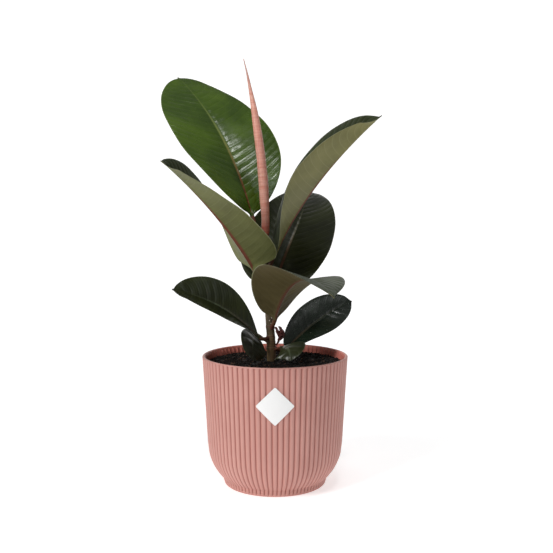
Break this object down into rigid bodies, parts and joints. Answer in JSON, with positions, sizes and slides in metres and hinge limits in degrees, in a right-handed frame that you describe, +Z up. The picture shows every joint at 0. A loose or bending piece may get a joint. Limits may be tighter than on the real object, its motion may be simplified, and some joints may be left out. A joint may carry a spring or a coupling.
{
  "type": "potted rubber plant",
  "caption": "Young rubber plant with broad dark glossy leaves and a pink growing sheath, standing in a fluted round pot filled with soil.",
  "frame": {"origin": "middle of the pot's flat underside", "axes": "+Z up along the pot's axis, the plant's front towards -Y, +X to the right seen from the front"},
  "size_m": [0.207, 0.2424, 0.406],
  "materials": {
    "pot_pink": "matte",
    "sticker_white": "satin",
    "soil_dark": "matte",
    "stem_bark": "satin",
    "leaf_green": "satin",
    "sheath_pink": "satin",
    "husk_red": "matte"
  },
  "bodies": {
    "root": {"pot": "pot_pink", "blank_sticker": "sticker_white", "potting_soil": "soil_dark", "stem": "stem_bark", "leaf_soil_right": "leaf_green", "leaf_low_right": "leaf_green", "leaf_soil_left": "leaf_green", "leaf_low_left": "leaf_green", "leaf_front": "leaf_green", "leaf_back_right": "leaf_green", "leaf_left": "leaf_green", "leaf_right": "leaf_green", "leaf_back_left": "leaf_green", "growing_sheath": "sheath_pink", "dried_sheath": "husk_red"}
  },
  "joints": []
}
